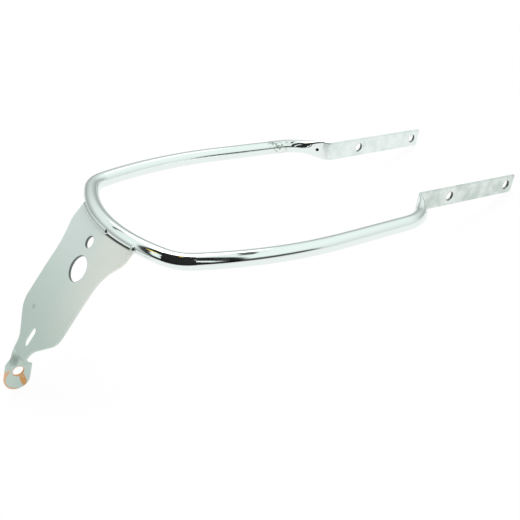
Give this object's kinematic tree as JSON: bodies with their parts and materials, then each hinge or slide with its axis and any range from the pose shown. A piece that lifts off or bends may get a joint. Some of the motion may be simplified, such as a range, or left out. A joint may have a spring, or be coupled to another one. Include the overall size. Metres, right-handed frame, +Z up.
{
  "type": "moped rear grab bar",
  "caption": "Chromed U-shaped moped grab bar: a bent tube with flattened, folded bolt-on ends and a welded tail plate that ends in a twisted foot with a bolt hole.",
  "frame": {"origin": "middle of the bar's box on the floor that it rests on, by its foot and its two strip ends", "axes": "+Y forward to the strips, +X to the right, +Z up; the plane of the U is tipped down to the front"},
  "size_m": [0.2486, 0.6298, 0.1435],
  "materials": {
    "tube_chrome": "polished",
    "plate_chrome": "satin",
    "weld_chrome": "satin"
  },
  "bodies": {
    "root": {"bent_tube": "tube_chrome", "tail_plate": "plate_chrome", "weld_bead": "weld_chrome", "weld_tack": "weld_chrome"}
  },
  "joints": []
}
